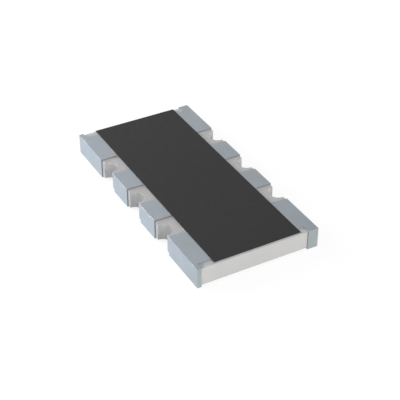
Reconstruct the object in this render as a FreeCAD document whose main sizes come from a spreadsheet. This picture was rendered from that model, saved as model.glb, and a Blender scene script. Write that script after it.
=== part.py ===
"""Chip resistor network: four isolated resistors in one notched ceramic body.

Millimetres. X runs along the rows of terminals, Y from the left row to the right row and Z up.
The origin lies under the middle of the body, on the face that is soldered down.
"""

import FreeCAD, Part
import os
import re

import Sketcher

from FreeCAD import Vector

# Driving dimensions, each with what it measures.
SIZES = {
    "ceramic_length": ("3.176", "ceramic body along X"),
    "ceramic_width": ("1.576", "ceramic body along Y"),
    "ceramic_thickness": ("0.2305", "ceramic body along Z"),
    "notch_pitch": ("0.738", "step between the notches of one side"),
    "notch_radius": ("0.12", "half-round notch, centred on the side face"),
    "bare_edge": ("0.062", "bare ceramic between a notch and a terminal"),
    "end_bare": ("0.088", "bare ceramic between a corner pad and the end of the body"),
    "land_reach": ("0.35", "plating under the body, in from the side face"),
    "left_band": ("0.055", "plating round the corners of the left row, over the end face"),
    "right_band": ("0.138", "plating round the corners of the right row, over the end face"),
    "electrode_thickness": ("0.005", "silver on the top and side faces, under the plating"),
    "underside_thickness": ("0.0135", "silver on the underside, printed thicker"),
    "nickel_thickness": ("0.003", "nickel barrier"),
    "tin_thickness": ("0.004", "tin finish"),
    "tin_edge_radius": ("0.005", "rounding of the outer edges of the tin"),
    "overcoat_length": ("3.17", "black overcoat along X"),
    "overcoat_width": ("1.152", "black overcoat along Y"),
    "overcoat_height": ("0.019", "top of the overcoat above the ceramic"),
    "electrode_spacing": ("0.76", "free length of a resistor between its two electrodes"),
    "tab_setback": ("0.01", "electrode tab, in from the edges of the middle pads"),
    "element_setback": ("0.025", "resistor element, in from the edges of its tabs"),
    "element_thickness": ("0.005", "printed resistor element"),
    "element_lap": ("0.08", "lap of the element over the end of each tab"),
    "glass_thickness": ("0.003", "glass over the highest part of the element"),
    "glass_margin": ("0.02", "glass beyond the element and its tabs"),
    "kerf_width": ("0.03", "laser cut that trims the element"),
    "kerf_depth": ("0.11", "length of that cut, in from the edge of the element"),
    "kerf_offset": ("0.12", "middle of that cut from the middle of the body"),
}

# Derived levels and widths, written in the names of the sizes.
PLATING = "(electrode_thickness + nickel_thickness + tin_thickness)"
CERAMIC_BASE = "(underside_thickness + nickel_thickness + tin_thickness)"
CERAMIC_TOP = f"({CERAMIC_BASE} + ceramic_thickness)"
HALF_LENGTH = "(ceramic_length / 2)"
HALF_WIDTH = "(ceramic_width / 2)"
NOTCH_CLEAR = "(notch_radius + bare_edge)"
MIDDLE_PAD_WIDTH = f"(notch_pitch - 2 * {NOTCH_CLEAR})"
ELECTRODE_INSET = "(nickel_thickness + tin_thickness)"
TAB_WIDTH = f"({MIDDLE_PAD_WIDTH} - 2 * {ELECTRODE_INSET} - 2 * tab_setback)"
ELEMENT_WIDTH = f"({TAB_WIDTH} - 2 * element_setback)"
ELEMENT_REACH = "(electrode_spacing / 2 + element_lap)"
GLASS_WIDTH = f"({TAB_WIDTH} + 2 * glass_margin)"
GLASS_REACH = f"({ELEMENT_REACH} + glass_margin)"
GLASS_HEIGHT = "(electrode_thickness + element_thickness + glass_thickness)"

# Each row has four terminals, numbered from the far end of the body (-X) to the near end (+X).
# A place is the terminal's number, its side of the middle along X, and whether it is at a corner.
PLACES = [(1, -1, True), (2, -1, False), (3, 1, False), (4, 1, True)]
ROWS = [("left", -1), ("right", 1)]

# Corners closer than this lie in one plane.
SAME_PLACE = 1e-6

doc = FreeCAD.newDocument("resistor_network")
sheet = doc.addObject("Spreadsheet::Sheet", "sizes")
bodies = []


def fill_sheet():
    """Write the driving dimensions, one row each: name, number and meaning."""
    for row, (name, (number, meaning)) in enumerate(SIZES.items(), start=1):
        sheet.set(f"A{row}", name)
        sheet.set(f"B{row}", number)
        sheet.set(f"C{row}", meaning)
        sheet.setAlias(f"B{row}", name)
    doc.recompute()


def tie(text):
    """Turn the names of sizes in a formula into references to the sheet."""
    return re.sub(r"[a-z_]+", lambda word: f"sizes.{word.group(0)}", text)


def new_body(name):
    body = doc.addObject("PartDesign::Body", name)
    body.Label = name
    bodies.append(body)
    return body


def origin_feature(body, role):
    return next(item for item in body.Origin.OriginFeatures if item.Role == role)


def new_sketch(body, name, plane, offset):
    """A sketch parallel to one of the body's planes, offset from it along the plane's normal."""
    sketch = body.newObject("Sketcher::SketchObject", name)
    sketch.AttachmentSupport = [(origin_feature(body, plane), "")]
    sketch.MapMode = "FlatFace"
    sketch.setExpression(".AttachmentOffset.Base.z", tie(offset))
    return sketch


def number_of(sketch, formula):
    """What a formula comes to."""
    return float(sketch.evalExpression(tie(formula)))


def add_outline(sketch, corners):
    """Add a closed outline of straight lines whose corners follow the sheet."""
    first = sketch.GeometryCount
    count = len(corners)
    points = [Vector(number_of(sketch, along), number_of(sketch, across), 0) for along, across in corners]
    ends = points[1:] + points[:1]
    sketch.addGeometry([Part.LineSegment(start, end) for start, end in zip(points, ends)])
    rules = []
    formulas = {}
    for index, corner in enumerate(corners):
        line = first + index
        rules.append(Sketcher.Constraint("Coincident", line, 2, first + (index + 1) % count, 1))
        for kind, value, start in zip(("DistanceX", "DistanceY"), corner, points[index]):
            rule = Sketcher.Constraint(kind, -1, 1, line, 1, start)
            rule.Name = f"{kind}_{line}"
            rules.append(rule)
            formulas[rule.Name] = tie(value)
    sketch.addConstraint(rules)
    for name, formula in formulas.items():
        sketch.setExpression(f"Constraints.{name}", formula)


def outline_sketch(body, name, plane, offset, *outlines):
    sketch = new_sketch(body, name, plane, offset)
    for corners in outlines:
        add_outline(sketch, corners)
    return sketch


def pad(body, name, sketch, length):
    """Raise the sketch along its plane's normal."""
    feature = body.newObject("PartDesign::Pad", name)
    feature.Profile = sketch
    feature.setExpression("Length", tie(length))
    body.Tip = feature
    return feature


def pocket(body, name, sketch, depth, upward=False):
    """Cut the sketch into the body, against its plane's normal unless upward."""
    feature = body.newObject("PartDesign::Pocket", name)
    feature.Profile = sketch
    feature.Reversed = upward
    feature.setExpression("Length", tie(depth))
    body.Tip = feature
    return feature


def rectangle(low_x, low_y, high_x, high_y):
    return [(low_x, low_y), (high_x, low_y), (high_x, high_y), (low_x, high_y)]


def terminal_edges(place, inset="0"):
    """Distances from the middle along X of a terminal's two edges over the row face."""
    if place[2]:
        return (f"(notch_pitch + {NOTCH_CLEAR} + {inset})", f"({HALF_LENGTH} - end_bare - {inset})")
    return (f"({NOTCH_CLEAR} + {inset})", f"(notch_pitch - {NOTCH_CLEAR} - {inset})")


def element_middle(place):
    """The middle along X of a pad, on which its resistor is centred."""
    inner, outer = terminal_edges(place)
    return f"({place[1]} * ({inner} + {outer}) / 2)"


def band_edge(row, inset):
    """Distance from the middle along Y at which the plating of an end face stops."""
    return f"({HALF_WIDTH} + {PLATING} - {row}_band + {inset})"


def turned(place, y_side, corners):
    """Carry an outline from the near right quarter of the body to its own quarter."""
    return [(f"{place[1]} * {along}", f"{y_side} * {across}") for along, across in corners]


def terminal_outline(place, row, y_side, reach, skin, inset):
    """The outline from above of one layer that wraps a terminal.

    reach is how far the layer goes in from the side face, skin is its outer face beyond the
    ceramic, and inset is how far its edges stay back from those of the tin.
    """
    inner, outer = terminal_edges(place, inset)
    side = f"({HALF_WIDTH} + {skin})"
    inside = f"({HALF_WIDTH} - {reach} + {inset})"
    corners = [(inner, side), (inner, inside), (outer, inside)]
    if place[2]:
        end = f"({HALF_LENGTH} + {skin})"
        band = band_edge(row, inset)
        corners += [(outer, band), (end, band), (end, side)]
    else:
        corners += [(outer, side)]
    return turned(place, y_side, corners)


def ceramic_substrate():
    """Flat alumina plate with three half-round notches in each long side."""
    body = new_body("ceramic_substrate")
    plan = rectangle(f"-{HALF_LENGTH}", f"-{HALF_WIDTH}", HALF_LENGTH, HALF_WIDTH)
    plate = outline_sketch(body, "plate_plan", "XY_Plane", CERAMIC_BASE, plan)
    pad(body, "plate", plate, "ceramic_thickness")
    plan = new_sketch(body, "notch_plan", "XY_Plane", CERAMIC_TOP)
    for index, (row, y_side) in enumerate(ROWS):
        side_face = f"{y_side} * {HALF_WIDTH}"
        along = number_of(plan, "-notch_pitch")
        across = number_of(plan, side_face)
        radius = number_of(plan, "notch_radius")
        plan.addGeometry(Part.Circle(Vector(along, across, 0), Vector(0, 0, 1), radius))
        rules = [
            (Sketcher.Constraint("DistanceX", -1, 1, index, 3, along), "-notch_pitch"),
            (Sketcher.Constraint("DistanceY", -1, 1, index, 3, across), side_face),
            (Sketcher.Constraint("Radius", index, radius), "notch_radius"),
        ]
        for rule, formula in rules:
            rule.Name = f"{rule.Type}_{row}"
            plan.addConstraint(rule)
            plan.setExpression(f"Constraints.{rule.Name}", tie(formula))
    far_notches = pocket(body, "far_notches", plan, "ceramic_thickness")
    body.recompute(True)
    notches = body.newObject("PartDesign::LinearPattern", "notches")
    notches.Originals = [far_notches]
    notches.Direction = (origin_feature(body, "X_Axis"), [""])
    notches.setExpression("Length", tie("2 * notch_pitch"))
    notches.Occurrences = 3
    body.Tip = notches


def top_electrode(place, row, y_side):
    """Printed pad with a tab that runs in under the overcoat to the resistor."""
    body = new_body(f"top_electrode_{row}_{place[0]}")
    inner, outer = terminal_edges(place, ELECTRODE_INSET)
    middle = f"({place[1]} * {element_middle(place)})"
    tab_low = f"({middle} - {TAB_WIDTH} / 2)"
    tab_high = f"({middle} + {TAB_WIDTH} / 2)"
    tab_end = "(electrode_spacing / 2)"
    pad_end = "(overcoat_width / 2)"
    corners = [(inner, HALF_WIDTH), (inner, pad_end), (tab_low, pad_end), (tab_low, tab_end)]
    corners += [(tab_high, tab_end), (tab_high, pad_end), (outer, pad_end)]
    if place[2]:
        band = band_edge(row, ELECTRODE_INSET)
        corners += [(outer, band), (HALF_LENGTH, band), (HALF_LENGTH, HALF_WIDTH)]
    else:
        corners += [(outer, HALF_WIDTH)]
    plan = outline_sketch(body, "pad_plan", "XY_Plane", CERAMIC_TOP, turned(place, y_side, corners))
    pad(body, "printed_pad", plan, "electrode_thickness")


def bottom_electrode(place, row, y_side):
    """Printed pad on the underside, behind the solder land."""
    body = new_body(f"bottom_electrode_{row}_{place[0]}")
    corners = terminal_outline(place, row, y_side, "land_reach", "0", ELECTRODE_INSET)
    plan = outline_sketch(body, "pad_plan", "XY_Plane", ELECTRODE_INSET, corners)
    pad(body, "printed_pad", plan, "underside_thickness")


def side_electrode(place, row, y_side):
    """Thin wall on the side face that joins the top and bottom pads, turned over the end at a corner."""
    body = new_body(f"side_electrode_{row}_{place[0]}")
    inner, outer = terminal_edges(place, ELECTRODE_INSET)
    side = f"({HALF_WIDTH} + electrode_thickness)"
    corners = [(inner, side), (inner, HALF_WIDTH)]
    if place[2]:
        end = f"({HALF_LENGTH} + electrode_thickness)"
        band = band_edge(row, ELECTRODE_INSET)
        corners += [(HALF_LENGTH, HALF_WIDTH), (HALF_LENGTH, band), (end, band), (end, side)]
    else:
        corners += [(outer, HALF_WIDTH), (outer, side)]
    plan = outline_sketch(body, "wall_plan", "XY_Plane", ELECTRODE_INSET, turned(place, y_side, corners))
    pad(body, "wall", plan, "underside_thickness + ceramic_thickness + electrode_thickness")


def round_outer_edges(body, block, radius):
    """Round the edges of the block's side face and, at a corner, of its end face."""
    body.recompute(True)
    box = block.Shape.BoundBox
    far_x = max(box.XMax, -box.XMin)
    far_y = max(box.YMax, -box.YMin)
    end = float(sheet.ceramic_length) / 2
    names = []
    for index, edge in enumerate(block.Shape.Edges, start=1):
        on_side = all(abs(abs(corner.Y) - far_y) < SAME_PLACE for corner in edge.Vertexes)
        on_end = far_x > end and all(abs(abs(corner.X) - far_x) < SAME_PLACE for corner in edge.Vertexes)
        if on_side or on_end:
            names.append(f"Edge{index}")
    rounding = body.newObject("PartDesign::Fillet", "rounded_edges")
    rounding.Base = (block, names)
    rounding.setExpression("Radius", tie(radius))
    body.Tip = rounding


def plated_layer(name, place, row, y_side, plated, layer, inset, radius=None):
    """One plated layer of a terminal, folded over what lies beneath it.

    plated is the plating already on the silver, layer this layer's own thickness, and inset how far
    its edges stay back from those of the tin.
    """
    body = new_body(f"{name}_{row}_{place[0]}")
    under = f"(electrode_thickness + {plated})"
    over = f"({under} + {layer})"
    under_base = f"(underside_thickness + {plated})"
    over_base = f"({under_base} + {layer})"
    corners = terminal_outline(place, row, y_side, "land_reach", over, inset)
    plan = outline_sketch(body, "outer_plan", "XY_Plane", f"{CERAMIC_BASE} - {over_base}", corners)
    block = pad(body, "block", plan, f"{over_base} + ceramic_thickness + {over}")
    if radius:
        round_outer_edges(body, block, radius)
    corners = terminal_outline(place, row, y_side, "land_reach", under, f"({inset} + {layer})")
    plan = outline_sketch(body, "inner_plan", "XY_Plane", f"{CERAMIC_TOP} + {under}", corners)
    pocket(body, "inner_layers", plan, f"{under_base} + ceramic_thickness + {under}")
    corners = rectangle(f"-{HALF_LENGTH}", f"-{HALF_WIDTH}", HALF_LENGTH, HALF_WIDTH)
    plan = outline_sketch(body, "ceramic_plan", "XY_Plane", CERAMIC_TOP, corners)
    pocket(body, "ceramic_seat", plan, "ceramic_thickness")
    corners = rectangle(f"-{HALF_LENGTH}", "-overcoat_width / 2", HALF_LENGTH, "overcoat_width / 2")
    plan = outline_sketch(body, "overcoat_plan", "XY_Plane", f"{CERAMIC_TOP} + {over}", corners)
    pocket(body, "overcoat_edge", plan, over)


def element_profile():
    """Side view of a resistor element: flat on the ceramic, stepped up over the ends of its tabs."""
    base = CERAMIC_TOP
    lap_base = f"{base} + electrode_thickness"
    lap_top = f"{lap_base} + element_thickness"
    foot = "electrode_spacing / 2"
    rise = f"({foot} - element_thickness)"
    right = [(foot, base), (foot, lap_base), (ELEMENT_REACH, lap_base), (ELEMENT_REACH, lap_top)]
    right += [(rise, lap_top), (rise, f"{base} + element_thickness")]
    left = [(f"-{across}", level) for across, level in reversed(right)]
    return right + left


def trim_kerf(body, place, bottom, height):
    """Cut the laser kerf in from the edge of the element that faces the near end."""
    middle = element_middle(place)
    edge = f"{middle} + {ELEMENT_WIDTH} / 2"
    low, high = "kerf_offset - kerf_width / 2", "kerf_offset + kerf_width / 2"
    corners = rectangle(f"{edge} - kerf_depth", low, edge, high)
    plan = outline_sketch(body, "kerf_plan", "XY_Plane", bottom, corners)
    pocket(body, "kerf", plan, height, upward=True)


def resistor_element(place):
    """Printed resistor between one left and one right electrode."""
    body = new_body(f"resistor_element_{place[0]}")
    start = f"{element_middle(place)} - {ELEMENT_WIDTH} / 2"
    profile = outline_sketch(body, "side_view", "YZ_Plane", start, element_profile())
    pad(body, "print", profile, ELEMENT_WIDTH)
    trim_kerf(body, place, CERAMIC_TOP, "electrode_thickness + element_thickness")


def glass_coat(place):
    """Glass that seals one resistor element and the ends of its two tabs."""
    body = new_body(f"glass_coat_{place[0]}")
    middle = element_middle(place)
    half = f"{GLASS_WIDTH} / 2"
    corners = rectangle(f"{middle} - {half}", f"-{GLASS_REACH}", f"{middle} + {half}", GLASS_REACH)
    plan = outline_sketch(body, "glass_plan", "XY_Plane", CERAMIC_TOP, corners)
    pad(body, "glaze", plan, GLASS_HEIGHT)
    start = f"{middle} + {ELEMENT_WIDTH} / 2"
    profile = outline_sketch(body, "element_side_view", "YZ_Plane", start, element_profile())
    pocket(body, "element_bed", profile, ELEMENT_WIDTH)
    half = f"{TAB_WIDTH} / 2"
    tabs = []
    for side in ("-", ""):
        near, far = f"{side}electrode_spacing / 2", f"{side}{GLASS_REACH}"
        tabs.append(rectangle(f"{middle} - {half}", near, f"{middle} + {half}", far))
    plan = outline_sketch(body, "tab_plan", "XY_Plane", CERAMIC_TOP, *tabs)
    pocket(body, "tab_beds", plan, "electrode_thickness", upward=True)
    trim_kerf(body, place, CERAMIC_TOP, GLASS_HEIGHT)


def overcoat():
    """Black slab over the four glazed resistors, from one row of terminals to the other."""
    body = new_body("overcoat")
    half_length, half_width = "overcoat_length / 2", "overcoat_width / 2"
    plan = rectangle(f"-{half_length}", f"-{half_width}", half_length, half_width)
    slab = outline_sketch(body, "slab_plan", "XY_Plane", CERAMIC_TOP, plan)
    pad(body, "slab", slab, "overcoat_height")
    beds = [
        ("glass", GLASS_WIDTH, GLASS_REACH, GLASS_HEIGHT),
        ("tab", TAB_WIDTH, "overcoat_width / 2", "electrode_thickness"),
    ]
    for name, width, reach, depth in beds:
        outlines = []
        for place in PLACES:
            middle = element_middle(place)
            low, high = f"{middle} - {width} / 2", f"{middle} + {width} / 2"
            outlines.append(rectangle(low, f"-{reach}", high, reach))
        plan = outline_sketch(body, f"{name}_plan", "XY_Plane", CERAMIC_TOP, *outlines)
        pocket(body, f"{name}_beds", plan, depth, upward=True)


def build():
    fill_sheet()
    ceramic_substrate()
    for place in PLACES:
        for row, y_side in ROWS:
            top_electrode(place, row, y_side)
            bottom_electrode(place, row, y_side)
            side_electrode(place, row, y_side)
            at_terminal = (place, row, y_side)
            plated_layer("nickel_barrier", *at_terminal, "0", "nickel_thickness", "tin_thickness")
            plated_layer(
                "tin_terminal", *at_terminal, "nickel_thickness", "tin_thickness", "0", "tin_edge_radius"
            )
        resistor_element(place)
        glass_coat(place)
    overcoat()
    doc.recompute()


def check():
    """Stop if a feature failed, a cut removed nothing, or a piece is not one sound solid."""
    for item in doc.Objects:
        if "Invalid" in item.State or "Error" in item.State:
            raise RuntimeError(f"{item.Label} failed: {item.State}")
    for body in bodies:
        shape = body.Shape
        if shape.isNull() or not shape.isValid() or len(shape.Solids) != 1:
            raise RuntimeError(f"{body.Label} is not one sound solid")
        for feature in body.Group:
            is_cut = feature.TypeId == "PartDesign::Pocket"
            if is_cut and feature.Shape.Volume >= feature.BaseFeature.Shape.Volume:
                raise RuntimeError(f"{feature.Label} of {body.Label} cuts nothing")


def export():
    os.makedirs("parts", exist_ok=True)
    for body in bodies:
        body.Shape.exportStep(f"parts/{body.Label}.step")
        print(f"{body.Label}: {body.Shape.Volume:.6f} cubic mm")


build()
check()
export()
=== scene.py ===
import math

import bmesh
import bpy
from mathutils import Matrix, Vector


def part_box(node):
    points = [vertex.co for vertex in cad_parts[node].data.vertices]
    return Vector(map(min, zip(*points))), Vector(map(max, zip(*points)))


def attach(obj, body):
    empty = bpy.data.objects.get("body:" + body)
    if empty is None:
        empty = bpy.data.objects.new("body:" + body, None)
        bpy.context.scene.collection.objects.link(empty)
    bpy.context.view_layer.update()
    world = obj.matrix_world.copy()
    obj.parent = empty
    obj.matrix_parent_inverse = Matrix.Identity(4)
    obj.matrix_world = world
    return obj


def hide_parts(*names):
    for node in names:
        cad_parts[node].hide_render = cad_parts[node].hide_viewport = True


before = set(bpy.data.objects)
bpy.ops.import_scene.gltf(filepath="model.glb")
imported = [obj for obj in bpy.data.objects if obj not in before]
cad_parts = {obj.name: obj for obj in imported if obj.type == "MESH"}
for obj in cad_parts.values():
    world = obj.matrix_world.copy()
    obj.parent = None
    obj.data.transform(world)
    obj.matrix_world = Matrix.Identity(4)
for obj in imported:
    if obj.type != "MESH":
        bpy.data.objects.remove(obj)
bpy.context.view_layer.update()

# Pieces are shaped in millimetres and brought to metres when they are finished.
MM = 0.001

# Sizes of the chip that the frame's boxes don't give, in millimetres.
NOTCH_RADIUS = 0.12
END_BARE = 0.088
BANDS = {"left": 0.055, "right": 0.138}
TIN_EDGE_RADIUS = 0.0006
OVERCOAT_EDGE_RADIUS = 0.005
CERAMIC_EDGE_RADIUS = 0.001

# The ceramic's edges are broken where its faces turn by more than this.
SHARP_ANGLE = math.radians(30)

# Corners this close are one, and a corner this close to a face lies on it, in millimetres.
SAME_PLACE = 1e-6
ON_FACE = 1e-4

# Fineness of the rounded edges and of the notches.
TIN_EDGE_STEPS = 4
OVERCOAT_EDGE_STEPS = 6
CERAMIC_EDGE_STEPS = 2
NOTCH_SIDES = 192

# Where a finish changes, in millimetres: the start and the end of a soft step, measured from the
# edge or face that the step belongs to.
# The next three place the painted shade on the plating's cut edges: across each edge, up from the
# ceramic's top, and off the near end.
CUT_EDGE = (0.0012, 0.0004)
CUT_EDGE_RISE = (-0.002, 0.002)
OFF_END_FACE = (0.0, -0.001)
NOTCH_WALL = (0.004, 0.001)
# Where the painted shade on the flat of the chip's side starts and ends.
SHADED_FLAT = (-0.0008, -0.0003)
# Where the painted light on the end strips of the top starts and ends.
BARE_STRIP = (-0.005, 0.0)
TOP_FACE = (-0.0006, -0.0002)
# Where the overcoat's painted light down its low wall starts and ends.
OVERCOAT_WALL = (-0.004, -0.007)
OVERCOAT_FEATHER = (-0.0075, -0.0035)

# The parts of a notch that get painted shade: where each starts and ends, along the chip from
# the notch's middle, and how dark it is, from 0 for fired alumina to 1 for the full shade tone.
MOUTH = (-0.8 * NOTCH_RADIUS, -0.99 * NOTCH_RADIUS)
MOUTH_SHADE = {"left": 0.5, "right": 0.2}
HEART = (-0.3 * NOTCH_RADIUS, 0.1 * NOTCH_RADIUS)
HEART_SHADE = (0.05, 0.7)
# Painted shade on the flat of the chip's side beside a notch.
FLAT_SHADE = 0.6

# The first notch of each side gets less painted shade: its share of that, and where its part of the
# chip ends.
FIRST_NOTCH_SHARE = 0.45
FIRST_NOTCH_END = (-0.6, -0.2)

# Half the width of the soft change from the left side to the right side, in millimetres.
SIDE_CHANGE = 0.1

# The useful middle of a noise, which runs from 0 to 1.
NOISE_MIDDLE = (0.3, 0.7)

# The photograph's viewpoint: degrees, and millimetres from the middle of the underside.
VIEW_AZIMUTH = 61.06
VIEW_ELEVATION = 35.33
VIEW_DISTANCE = 13.80
VIEW_SHIFT_RIGHT = 0.1024
VIEW_SHIFT_UP = -0.0475
LENS = 99.74
SENSOR = 36.0
NEAREST_SEEN = 0.1
FARTHEST_SEEN = 10000

# The floor's reach in millimetres, how much of its look is plain glow to the camera, and how strong
# that glow is.
FLOOR_REACH = 500
FLOOR_GLOW = 0.75
GLOW_STRENGTH = 1.1

# The floor in reflections: its tones to the left and near sides of the chip, the way from one to
# the other, and the two places on that way between which it changes, in millimetres.
FLOOR_SHINE = {"left": (0.80, 0.82, 0.84), "near": (0.66, 0.66, 0.61)}
SHINE_WAY = (0.875, 0.485)
SHINE_CHANGE = (0.4, 1.4)

# The height at which the sky has gone from its tone at the horizon, 0, to the one overhead, 1.
SKY_CHANGE = 0.5

# The lamps, all at one distance in millimetres: the name, azimuth and elevation in degrees, width
# and height in millimetres, power in milliwatts, and tint of each.
LAMP_DISTANCE = 30
MILLIWATT = 0.001
NEUTRAL = (1.0, 1.0, 1.0)
COOL = (0.98, 1.0, 1.1)
WARM = (1.0, 1.0, 0.99)
SOFTBOXES = [
    ("back_softbox", -80, 50, 30, 30, 1.2, NEUTRAL),
    ("far_left_softbox", -60, 9, 20, 9, 6.5, COOL),
    ("left_softbox", -45, 20, 20, 20, 3.8, COOL),
    ("near_softbox", 90, 20, 30, 20, 4.7, WARM),
    ("right_softbox", 130, 20, 20, 20, 1.5, NEUTRAL),
]

# The side of the chip that each row is on, the terminals of a row, and those at the chip's corners.
ROWS = {"left": -1, "right": 1}
NUMBERS = [1, 2, 3, 4]
CORNERS = (1, 4)


def box_mm(node):
    """Lowest and highest corner of a node, in millimetres."""
    low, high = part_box(node)
    return Vector(low) / MM, Vector(high) / MM


CERAMIC_LOW, CERAMIC_HIGH = box_mm("ceramic_substrate")
OVERCOAT_LOW, OVERCOAT_HIGH = box_mm("overcoat")
TIN_LOW, TIN_HIGH = box_mm("tin_terminal_left_3")
TIN_THICKNESS = TIN_HIGH.z - box_mm("nickel_barrier_left_3")[1].z
PLATING = TIN_HIGH.z - CERAMIC_HIGH.z
HALF_LENGTH = CERAMIC_HIGH.x
HALF_WIDTH = CERAMIC_HIGH.y
CORNER_EDGE = box_mm("tin_terminal_left_4")[0].x
NOTCH_PITCH = (CORNER_EDGE + TIN_HIGH.x) / 2


class Signal:
    """A number, colour or vector on its way through a finish's nodes."""

    def __init__(self, finish, socket):
        self.finish = finish
        self.socket = socket

    def maths(self, operation, *others):
        return self.finish.node("ShaderNodeMath", {"operation": operation}, [self, *others])

    def __add__(self, other):
        return self.maths("ADD", other)

    def __sub__(self, other):
        return self.maths("SUBTRACT", other)

    def __rsub__(self, other):
        return self * -1 + other

    def __mul__(self, other):
        return self.maths("MULTIPLY", other)

    def __pow__(self, other):
        return self.maths("POWER", other)

    def __abs__(self):
        return self.maths("ABSOLUTE")

    __radd__ = __add__
    __rmul__ = __mul__

    def least(self, other):
        return self.maths("MINIMUM", other)

    def ramp(self, low, high, start=0.0, end=1.0):
        """Carry the range low..high smoothly to start..end, and hold it outside."""
        settings = {"interpolation_type": "SMOOTHSTEP"}
        return self.finish.node("ShaderNodeMapRange", settings, [self, low, high, start, end])

    def step(self, level, change):
        """Rise smoothly from 0 to 1 over a change, whose two places count from a level."""
        first, last = change
        return self.ramp(level + first, level + last)

    def spread(self, start=0.0, end=1.0):
        """Carry the useful middle of a noise to start..end."""
        return self.ramp(*NOISE_MIDDLE, start, end)


class Finish:
    """A procedural material or sky, made one node at a time."""

    def __init__(self, holder):
        holder.use_nodes = True
        self.holder = holder
        self.tree = holder.node_tree
        self.tree.nodes.clear()

    def node(self, kind, settings=None, inputs=(), output=0):
        """Add a node, set it, fill its sockets by place or name, and give an output, if wanted."""
        made = self.tree.nodes.new(kind)
        for name, value in (settings or {}).items():
            setattr(made, name, value)
        pairs = inputs.items() if isinstance(inputs, dict) else enumerate(inputs)
        for key, value in pairs:
            socket = made.inputs[key]
            if isinstance(value, Signal):
                self.tree.links.new(value.socket, socket)
            else:
                socket.default_value = value
        return None if output is None else Signal(self, made.outputs[output])

    def place(self):
        """Object coordinates in millimetres."""
        where = self.node("ShaderNodeTexCoord", output="Object")
        inputs = {"Vector": where, "Scale": 1 / MM}
        return self.node("ShaderNodeVectorMath", {"operation": "SCALE"}, inputs, "Vector")

    def axis(self, place, letter):
        """The X, Y or Z of a place."""
        return self.node("ShaderNodeSeparateXYZ", {}, [place], letter)

    def noise(self, place, size, detail=3.0, roughness=0.55, stretch=(1.0, 1.0, 1.0)):
        """Soft noise from 0 to 1 with features of a size in millimetres, longer where stretched."""
        scale = [1 / (size * amount) for amount in stretch]
        settings = {"operation": "MULTIPLY"}
        scaled = self.node("ShaderNodeVectorMath", settings, [place, scale], "Vector")
        inputs = {"Vector": scaled, "Scale": 1.0, "Detail": detail, "Roughness": roughness}
        return self.node("ShaderNodeTexNoise", {}, inputs)

    def blend(self, amount, first, second):
        """Mix two colours by an amount from 0 to 1, through the colour sockets of a Mix node."""
        inputs = {0: amount, 6: first, 7: second}
        return self.node("ShaderNodeMix", {"data_type": "RGBA"}, inputs, 2)

    def relief(self, height, depth):
        """Bump from a height of 0 to 1 that stands for a depth in millimetres."""
        inputs = {"Strength": 1.0, "Distance": depth * MM, "Height": height}
        return self.node("ShaderNodeBump", {}, inputs, "Normal")

    def surface(self, **values):
        """End in one surface shader, whose sockets are named with underscores for spaces."""
        named = {name.replace("_", " "): value for name, value in values.items()}
        self.end(self.node("ShaderNodeBsdfPrincipled", {}, named))
        return self.holder

    def end(self, shader, kind="ShaderNodeOutputMaterial"):
        self.node(kind, {}, {"Surface": shader}, None)


def colour(red, green, blue):
    """A plain colour in linear light."""
    return (red, green, blue, 1.0)


def grey(tone):
    return colour(tone, tone, tone)


def tin_finish():
    """Matte tin: a pale blue-grey metal with a fine nodular grain, with painted shade on its cut
    edges.
    """
    dull = colour(0.506, 0.559, 0.606)
    bright = colour(0.530, 0.586, 0.636)
    # Painted shade for the plating's cut edges, below and above the ceramic's top.
    shaded_cut_below = colour(0.33, 0.355, 0.355)
    shaded_cut_above = colour(0.38, 0.40, 0.40)

    finish = Finish(bpy.data.materials.new("matte_tin"))
    place = finish.place()
    grain = finish.noise(place, size=0.009, detail=4.0, roughness=0.65)
    patches = finish.noise(place, size=0.16)
    tone = (grain * 0.35 + patches * 0.65).spread()
    skin = finish.blend(tone, dull, bright)

    # How far the nearest cut edge is: of a middle pad, of a corner pad, or of the right row's band
    # on the near end.
    x, y, z = (finish.axis(place, letter) for letter in "XYZ")
    middle_edge = abs(abs(abs(x) - (TIN_LOW.x + TIN_HIGH.x) / 2) - (TIN_HIGH.x - TIN_LOW.x) / 2)
    corner_edge = abs(abs(x) - CORNER_EDGE)
    off_near_end = x.step(HALF_LENGTH, OFF_END_FACE)
    band_edge = abs(y - (HALF_WIDTH + PLATING - BANDS["right"])) + off_near_end
    # The cut edges get painted shade, a little deeper below the ceramic's top than above it.
    cut = middle_edge.least(corner_edge).least(band_edge).step(0.0, CUT_EDGE)
    above = z.step(CERAMIC_HIGH.z, CUT_EDGE_RISE)

    return finish.surface(
        Base_Color=finish.blend(cut, skin, finish.blend(above, shaded_cut_below, shaded_cut_above)),
        Metallic=1.0,
        Roughness=patches.spread(0.45, 0.49),
        Normal=finish.relief(grain, depth=0.0008),
    )


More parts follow.
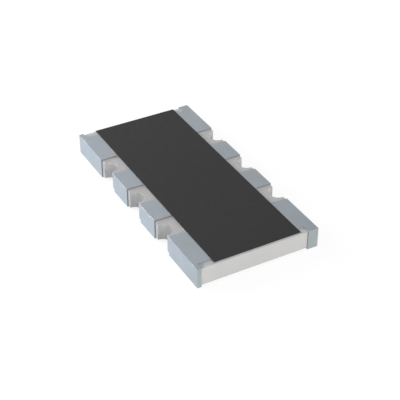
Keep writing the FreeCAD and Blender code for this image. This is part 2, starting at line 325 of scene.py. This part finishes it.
def alumina_finish():
    """Fired alumina: off-white and finely grained, with painted shade in its notches and on the
    flat beside them, and painted light on its end strips.
    """
    dull = colour(0.458, 0.457, 0.455)
    bright = colour(0.51, 0.509, 0.507)
    # Painted light for the end strips of the top.
    strip_light = grey(0.535)
    # Painted shade for the notch walls and the flat beside them.
    notch_shade_tone = grey(0.355)

    finish = Finish(bpy.data.materials.new("fired_alumina"))
    place = finish.place()
    grain = finish.noise(place, size=0.012, detail=5.0, roughness=0.7)
    patches = finish.noise(place, size=0.22, detail=2.0)
    streaks = finish.noise(place, size=0.012, stretch=(1.0, 1.0, 14.0))

    # Along and across count from the middle of the nearest notch. Its wall alone is streaked.
    x, y, z = (finish.axis(place, letter) for letter in "XYZ")
    along = x.maths("WRAP", NOTCH_PITCH / 2, -NOTCH_PITCH / 2)
    across = abs(y) - HALF_WIDTH
    reach = (along * along + across * across) ** 0.5
    wall = reach.step(NOTCH_RADIUS, NOTCH_WALL)
    streaked = streaks * wall + 0.5 * (1 - wall)
    tone = (grain * 0.3 + patches * 0.3 + streaked * 0.4).spread()
    plain = finish.blend(tone, dull, bright)

    # The wall gets painted shade at the far side of its mouth and from its heart on, and so does
    # the flat of the chip's side next to it.
    side_shade = y.ramp(SIDE_CHANGE, -SIDE_CHANGE, MOUTH_SHADE["right"], MOUTH_SHADE["left"])
    mouth = along.ramp(*MOUTH) * side_shade
    heart = along.ramp(*HEART, *HEART_SHADE)
    flat = across.step(0.0, SHADED_FLAT)
    notch_shade = wall * (mouth + heart) * (1 - flat) * x.ramp(*FIRST_NOTCH_END, FIRST_NOTCH_SHARE)

    # The strip of the top that the corner terminals leave uncovered at each end gets a little
    # painted light.
    strip = abs(x).step(HALF_LENGTH - END_BARE, BARE_STRIP) * z.step(CERAMIC_HIGH.z, TOP_FACE)
    fired = finish.blend(strip, plain, strip_light)

    return finish.surface(
        Base_Color=finish.blend(notch_shade + flat * FLAT_SHADE, fired, notch_shade_tone),
        Roughness=grain.spread(0.55, 0.7),
        Normal=finish.relief(grain * 0.35 + streaked * 0.65, depth=0.002),
    )


def overcoat_finish():
    """Cured black overcoat: matte with a faint orange peel, with painted light down its low wall
    and paler just before its near end.
    """
    dull = colour(0.0108, 0.0106, 0.0106)
    bright = colour(0.0122, 0.012, 0.012)
    # Painted light for the overcoat's low wall, and the paler tone just before its near end.
    pale_edge = grey(0.32)

    finish = Finish(bpy.data.materials.new("black_overcoat"))
    place = finish.place()
    peel = finish.noise(place, size=0.05, detail=2.0)
    speckle = finish.noise(place, size=0.008, roughness=0.7)
    tone = (peel * 0.5 + speckle * 0.5).spread()
    black = finish.blend(tone, dull, bright)

    # It gets painted light down its low wall, and it is paler just before its near end.
    wall = finish.axis(place, "Z").step(OVERCOAT_HIGH.z, OVERCOAT_WALL)
    feather = finish.axis(place, "X").step(OVERCOAT_HIGH.x, OVERCOAT_FEATHER)

    return finish.surface(
        Base_Color=finish.blend(wall + feather, black, pale_edge),
        Roughness=peel.spread(0.52, 0.58),
        Normal=finish.relief(peel * 0.7 + speckle * 0.3, depth=0.0004),
    )


def hidden_finish(name, dark, light, grain_size, metallic, roughness):
    """A layer inside the chip: two close tones and roughnesses in a grain, sized in millimetres."""
    finish = Finish(bpy.data.materials.new(name))
    grain = finish.noise(finish.place(), grain_size, detail=4.0, roughness=0.65)
    return finish.surface(
        Base_Color=finish.blend(grain.spread(), dark, light),
        Metallic=metallic,
        Roughness=grain.spread(*roughness),
        Normal=finish.relief(grain, depth=0.0008),
    )


def block(outline, bottom, top):
    """A prism on an outline of x, y points."""
    mesh = bmesh.new()
    base = mesh.faces.new([mesh.verts.new((x, y, bottom)) for x, y in outline])
    raised = bmesh.ops.extrude_face_region(mesh, geom=[base])["geom"]
    corners = [item for item in raised if isinstance(item, bmesh.types.BMVert)]
    bmesh.ops.translate(mesh, vec=(0, 0, top - bottom), verts=corners)
    bmesh.ops.recalc_face_normals(mesh, faces=mesh.faces)
    return mesh


def rectangle(low_x, low_y, high_x, high_y):
    return [(low_x, low_y), (high_x, low_y), (high_x, high_y), (low_x, high_y)]


def ceramic_block():
    """The ceramic body before its notches are drilled."""
    outline = rectangle(CERAMIC_LOW.x, CERAMIC_LOW.y, CERAMIC_HIGH.x, CERAMIC_HIGH.y)
    return block(outline, CERAMIC_LOW.z, CERAMIC_HIGH.z)


def round_edges(mesh, wanted, radius, steps):
    """Round the edges that wanted picks by their two ends."""
    edges = [edge for edge in mesh.edges if wanted(*(corner.co for corner in edge.verts))]
    bmesh.ops.bevel(
        mesh, geom=edges, offset=radius, offset_type="OFFSET", affect="EDGES",
        segments=steps, profile=0.5, material=-1,
    )


def carve(mesh, cutters):
    """Cut other closed meshes out of a mesh, and give the mesh that is left."""
    holders = []
    for index, source in enumerate([mesh, *cutters]):
        data = bpy.data.meshes.new(f"carving_{index}")
        source.to_mesh(data)
        source.free()
        holder = bpy.data.objects.new(f"carving_{index}", data)
        bpy.context.scene.collection.objects.link(holder)
        holders.append(holder)
    for cutter in holders[1:]:
        cut = holders[0].modifiers.new(cutter.name, "BOOLEAN")
        cut.operation = "DIFFERENCE"
        cut.solver = "EXACT"
        cut.object = cutter
    graph = bpy.context.evaluated_depsgraph_get()
    left = bmesh.new()
    left.from_object(holders[0], graph)
    for holder in holders:
        data = holder.data
        bpy.data.objects.remove(holder)
        bpy.data.meshes.remove(data)
    bmesh.ops.remove_doubles(left, verts=left.verts, dist=SAME_PLACE)
    return left


def show(name, mesh, finish):
    """Put a mesh into the scene under a name, in a finish."""
    data = bpy.data.meshes.new(name)
    mesh.to_mesh(data)
    mesh.free()
    data.materials.append(finish)
    piece = bpy.data.objects.new(name, data)
    bpy.context.scene.collection.objects.link(piece)
    return piece


def finish_piece(name, mesh, finish, node):
    """Bring a shaped mesh to metres and hand it over as the piece that a node shows."""
    bmesh.ops.transform(mesh, matrix=Matrix.Scale(MM, 4), verts=mesh.verts)
    piece = show(name, mesh, finish)
    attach(piece, "root")
    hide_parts(node)


def terminal_outline(row, number, skin, inset):
    """The outline from above of a layer that wraps a terminal.

    skin is the layer's outer face beyond the ceramic, and inset how far its edges stay back from
    those of the tin.
    """
    low, high = box_mm(f"tin_terminal_{row}_{number}")
    x_side = 1 if low.x + high.x > 0 else -1
    inner = min(abs(low.x), abs(high.x)) + inset
    inside = min(abs(low.y), abs(high.y)) + inset
    side = HALF_WIDTH + skin
    corners = [(inner, side), (inner, inside)]
    if number in CORNERS:
        outer = HALF_LENGTH - END_BARE - inset
        end = HALF_LENGTH + skin
        band = HALF_WIDTH + PLATING - BANDS[row] + inset
        corners += [(outer, inside), (outer, band), (end, band), (end, side)]
    else:
        outer = max(abs(low.x), abs(high.x)) - inset
        corners += [(outer, inside), (outer, side)]
    return [(x_side * along, ROWS[row] * across) for along, across in corners]


def tin_terminal(row, number, finish):
    """Tin folded over an edge of the chip, with rounded outer edges and a hollow for the nickel."""
    name = f"tin_terminal_{row}_{number}"
    low, high = box_mm(name)
    side = HALF_WIDTH + PLATING
    end = HALF_LENGTH + PLATING

    def on_outer_face(first, second):
        on_side = all(abs(abs(point.y) - side) < ON_FACE for point in (first, second))
        on_end = all(abs(abs(point.x) - end) < ON_FACE for point in (first, second))
        return on_side or on_end

    outer = block(terminal_outline(row, number, PLATING, 0.0), low.z, high.z)
    round_edges(outer, on_outer_face, TIN_EDGE_RADIUS, TIN_EDGE_STEPS)
    hollow = terminal_outline(row, number, PLATING - TIN_THICKNESS, TIN_THICKNESS)
    nickel = block(hollow, low.z + TIN_THICKNESS, high.z - TIN_THICKNESS)
    under_overcoat = rectangle(CERAMIC_LOW.x, OVERCOAT_LOW.y, CERAMIC_HIGH.x, OVERCOAT_HIGH.y)
    overcoat = block(under_overcoat, OVERCOAT_LOW.z, high.z + PLATING)
    mesh = carve(outer, [nickel, ceramic_block(), overcoat])
    finish_piece(f"{name}_plating", mesh, finish, name)


def ceramic_plate(finish):
    """The notched ceramic body with its edges barely broken."""
    height = CERAMIC_HIGH.z - CERAMIC_LOW.z
    drills = []
    for y_side in ROWS.values():
        for step in (-1, 0, 1):
            drill = bmesh.new()
            bmesh.ops.create_cone(
                drill, cap_ends=True, segments=NOTCH_SIDES,
                radius1=NOTCH_RADIUS, radius2=NOTCH_RADIUS, depth=2 * height,
            )
            middle = (step * NOTCH_PITCH, y_side * HALF_WIDTH, CERAMIC_LOW.z + height / 2)
            bmesh.ops.translate(drill, vec=middle, verts=drill.verts)
            drills.append(drill)
    mesh = carve(ceramic_block(), drills)
    joined = [edge for edge in mesh.edges if edge.is_manifold]
    sharp = [edge for edge in joined if edge.calc_face_angle() > SHARP_ANGLE]
    bmesh.ops.bevel(
        mesh, geom=sharp, offset=CERAMIC_EDGE_RADIUS, offset_type="OFFSET", affect="EDGES",
        segments=CERAMIC_EDGE_STEPS, profile=0.5, material=-1, clamp_overlap=True,
    )
    bmesh.ops.remove_doubles(mesh, verts=mesh.verts, dist=SAME_PLACE)
    finish_piece("ceramic_plate", mesh, finish, "ceramic_substrate")


def overcoat_slab(finish):
    """The black slab with softly rounded upper edges, hollow where the glass lies."""

    def on_top(first, second):
        return all(abs(point.z - OVERCOAT_HIGH.z) < ON_FACE for point in (first, second))

    outline = rectangle(OVERCOAT_LOW.x, OVERCOAT_LOW.y, OVERCOAT_HIGH.x, OVERCOAT_HIGH.y)
    slab = block(outline, OVERCOAT_LOW.z, OVERCOAT_HIGH.z)
    round_edges(slab, on_top, OVERCOAT_EDGE_RADIUS, OVERCOAT_EDGE_STEPS)
    beds = []
    for number in NUMBERS:
        low, high = box_mm(f"glass_coat_{number}")
        beds.append(block(rectangle(low.x, low.y, high.x, high.y), low.z - PLATING, high.z))
    finish_piece("overcoat_slab", carve(slab, beds), finish, "overcoat")


def dress_hidden_layers():
    """Give each layer that stays inside the chip its own finish."""
    finishes = {
        "nickel_barrier": hidden_finish(
            "nickel_plating", colour(0.50, 0.47, 0.42), colour(0.60, 0.57, 0.52),
            grain_size=0.006, metallic=1.0, roughness=(0.3, 0.45),
        ),
        "electrode": hidden_finish(
            "printed_silver", colour(0.66, 0.65, 0.62), colour(0.80, 0.79, 0.76),
            grain_size=0.01, metallic=1.0, roughness=(0.45, 0.6),
        ),
        "resistor_element": hidden_finish(
            "resistor_print", colour(0.035, 0.033, 0.032), colour(0.07, 0.066, 0.063),
            grain_size=0.012, metallic=0.0, roughness=(0.5, 0.65),
        ),
        "glass_coat": hidden_finish(
            "green_glaze", colour(0.05, 0.11, 0.07), colour(0.09, 0.17, 0.12),
            grain_size=0.02, metallic=0.0, roughness=(0.12, 0.27),
        ),
    }
    for name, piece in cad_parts.items():
        for part, finish in finishes.items():
            if part in name:
                piece.data.materials.clear()
                piece.data.materials.append(finish)


def floor_finish():
    """White floor with the chip's shadow: near white to the camera, and greyer in reflections."""
    white = grey(1.0)
    paper_white = grey(0.9)

    finish = Finish(bpy.data.materials.new("white_floor"))
    to_camera = finish.node("ShaderNodeLightPath", output="Is Camera Ray")
    to_metal = finish.node("ShaderNodeLightPath", output="Is Glossy Ray")
    paper = finish.node("ShaderNodeBsdfDiffuse", {}, {"Color": paper_white})
    glow = finish.node("ShaderNodeEmission", {}, {"Color": white, "Strength": GLOW_STRENGTH})
    place = finish.place()
    toward_near = finish.axis(place, "X") * SHINE_WAY[0] + finish.axis(place, "Y") * SHINE_WAY[1]
    side = toward_near.ramp(*SHINE_CHANGE)
    tone = finish.blend(side, colour(*FLOOR_SHINE["left"]), colour(*FLOOR_SHINE["near"]))
    shine = finish.node("ShaderNodeEmission", {}, {"Color": tone, "Strength": 1.0})
    lit = finish.node("ShaderNodeMixShader", {}, [to_camera * FLOOR_GLOW, paper, glow])
    finish.end(finish.node("ShaderNodeMixShader", {}, [to_metal, lit, shine]))
    return finish.holder


def floor():
    """A flat sheet under the chip, which isn't part of it."""
    mesh = bmesh.new()
    bmesh.ops.create_grid(mesh, x_segments=1, y_segments=1, size=FLOOR_REACH * MM)
    piece = show("studio_floor", mesh, floor_finish())


def studio_sky():
    """Soft light from all round, brighter near the horizon, with plain white behind the chip."""
    white = grey(1.0)
    horizon = grey(1.3)
    overhead = colour(0.355, 0.348, 0.342)

    world = bpy.data.worlds.new("studio_sky")
    bpy.context.scene.world = world
    finish = Finish(world)
    where = finish.node("ShaderNodeTexCoord", output="Generated")
    tone = finish.blend(finish.axis(where, "Z").ramp(0.0, SKY_CHANGE), horizon, overhead)
    sky = finish.node("ShaderNodeBackground", {}, {"Color": tone, "Strength": 1.0})
    backdrop = finish.node("ShaderNodeBackground", {}, {"Color": white, "Strength": 1.0})
    to_camera = finish.node("ShaderNodeLightPath", output="Is Camera Ray")
    seen = finish.node("ShaderNodeMixShader", {}, [to_camera, sky, backdrop])
    finish.end(seen, "ShaderNodeOutputWorld")


def direction(azimuth, elevation):
    """The way from the chip to a viewer: azimuth 0 is before the left row, 90 past the near end."""
    around = math.radians(azimuth)
    above = math.radians(elevation)
    level = math.cos(above)
    return Vector((math.sin(around) * level, -math.cos(around) * level, math.sin(above)))


def softbox(name, azimuth, elevation, width, height, power, tint):
    """A flat lamp that faces the chip."""
    lamp = bpy.data.lights.new(name, "AREA")
    lamp.shape = "RECTANGLE"
    lamp.size = width * MM
    lamp.size_y = height * MM
    lamp.energy = power * MILLIWATT
    lamp.color = tint
    holder = bpy.data.objects.new(name, lamp)
    back = direction(azimuth, elevation)
    holder.location = back * LAMP_DISTANCE * MM
    holder.rotation_euler = back.to_track_quat("Z", "Y").to_euler()
    bpy.context.scene.collection.objects.link(holder)


def camera():
    """The photograph's viewpoint."""
    data = bpy.data.cameras.new("photo_view")
    data.lens = LENS
    data.sensor_width = SENSOR
    data.clip_start = NEAREST_SEEN * MM
    data.clip_end = FARTHEST_SEEN * MM
    holder = bpy.data.objects.new("photo_view", data)
    back = direction(VIEW_AZIMUTH, VIEW_ELEVATION)
    right = Vector((-back.y, back.x, 0)).normalized()
    up = back.cross(right)
    holder.location = (back * VIEW_DISTANCE + right * VIEW_SHIFT_RIGHT + up * VIEW_SHIFT_UP) * MM
    holder.rotation_euler = Matrix((right, up, back)).transposed().to_euler()
    bpy.context.scene.collection.objects.link(holder)
    bpy.context.scene.camera = holder


def build_chip():
    tin = tin_finish()
    for row in ROWS:
        for number in NUMBERS:
            tin_terminal(row, number, tin)
    ceramic_plate(alumina_finish())
    overcoat_slab(overcoat_finish())
    dress_hidden_layers()


def build_studio():
    floor()
    studio_sky()
    for lamp in SOFTBOXES:
        softbox(*lamp)
    camera()
    bpy.context.scene.view_settings.view_transform = "Standard"


build_chip()
build_studio()
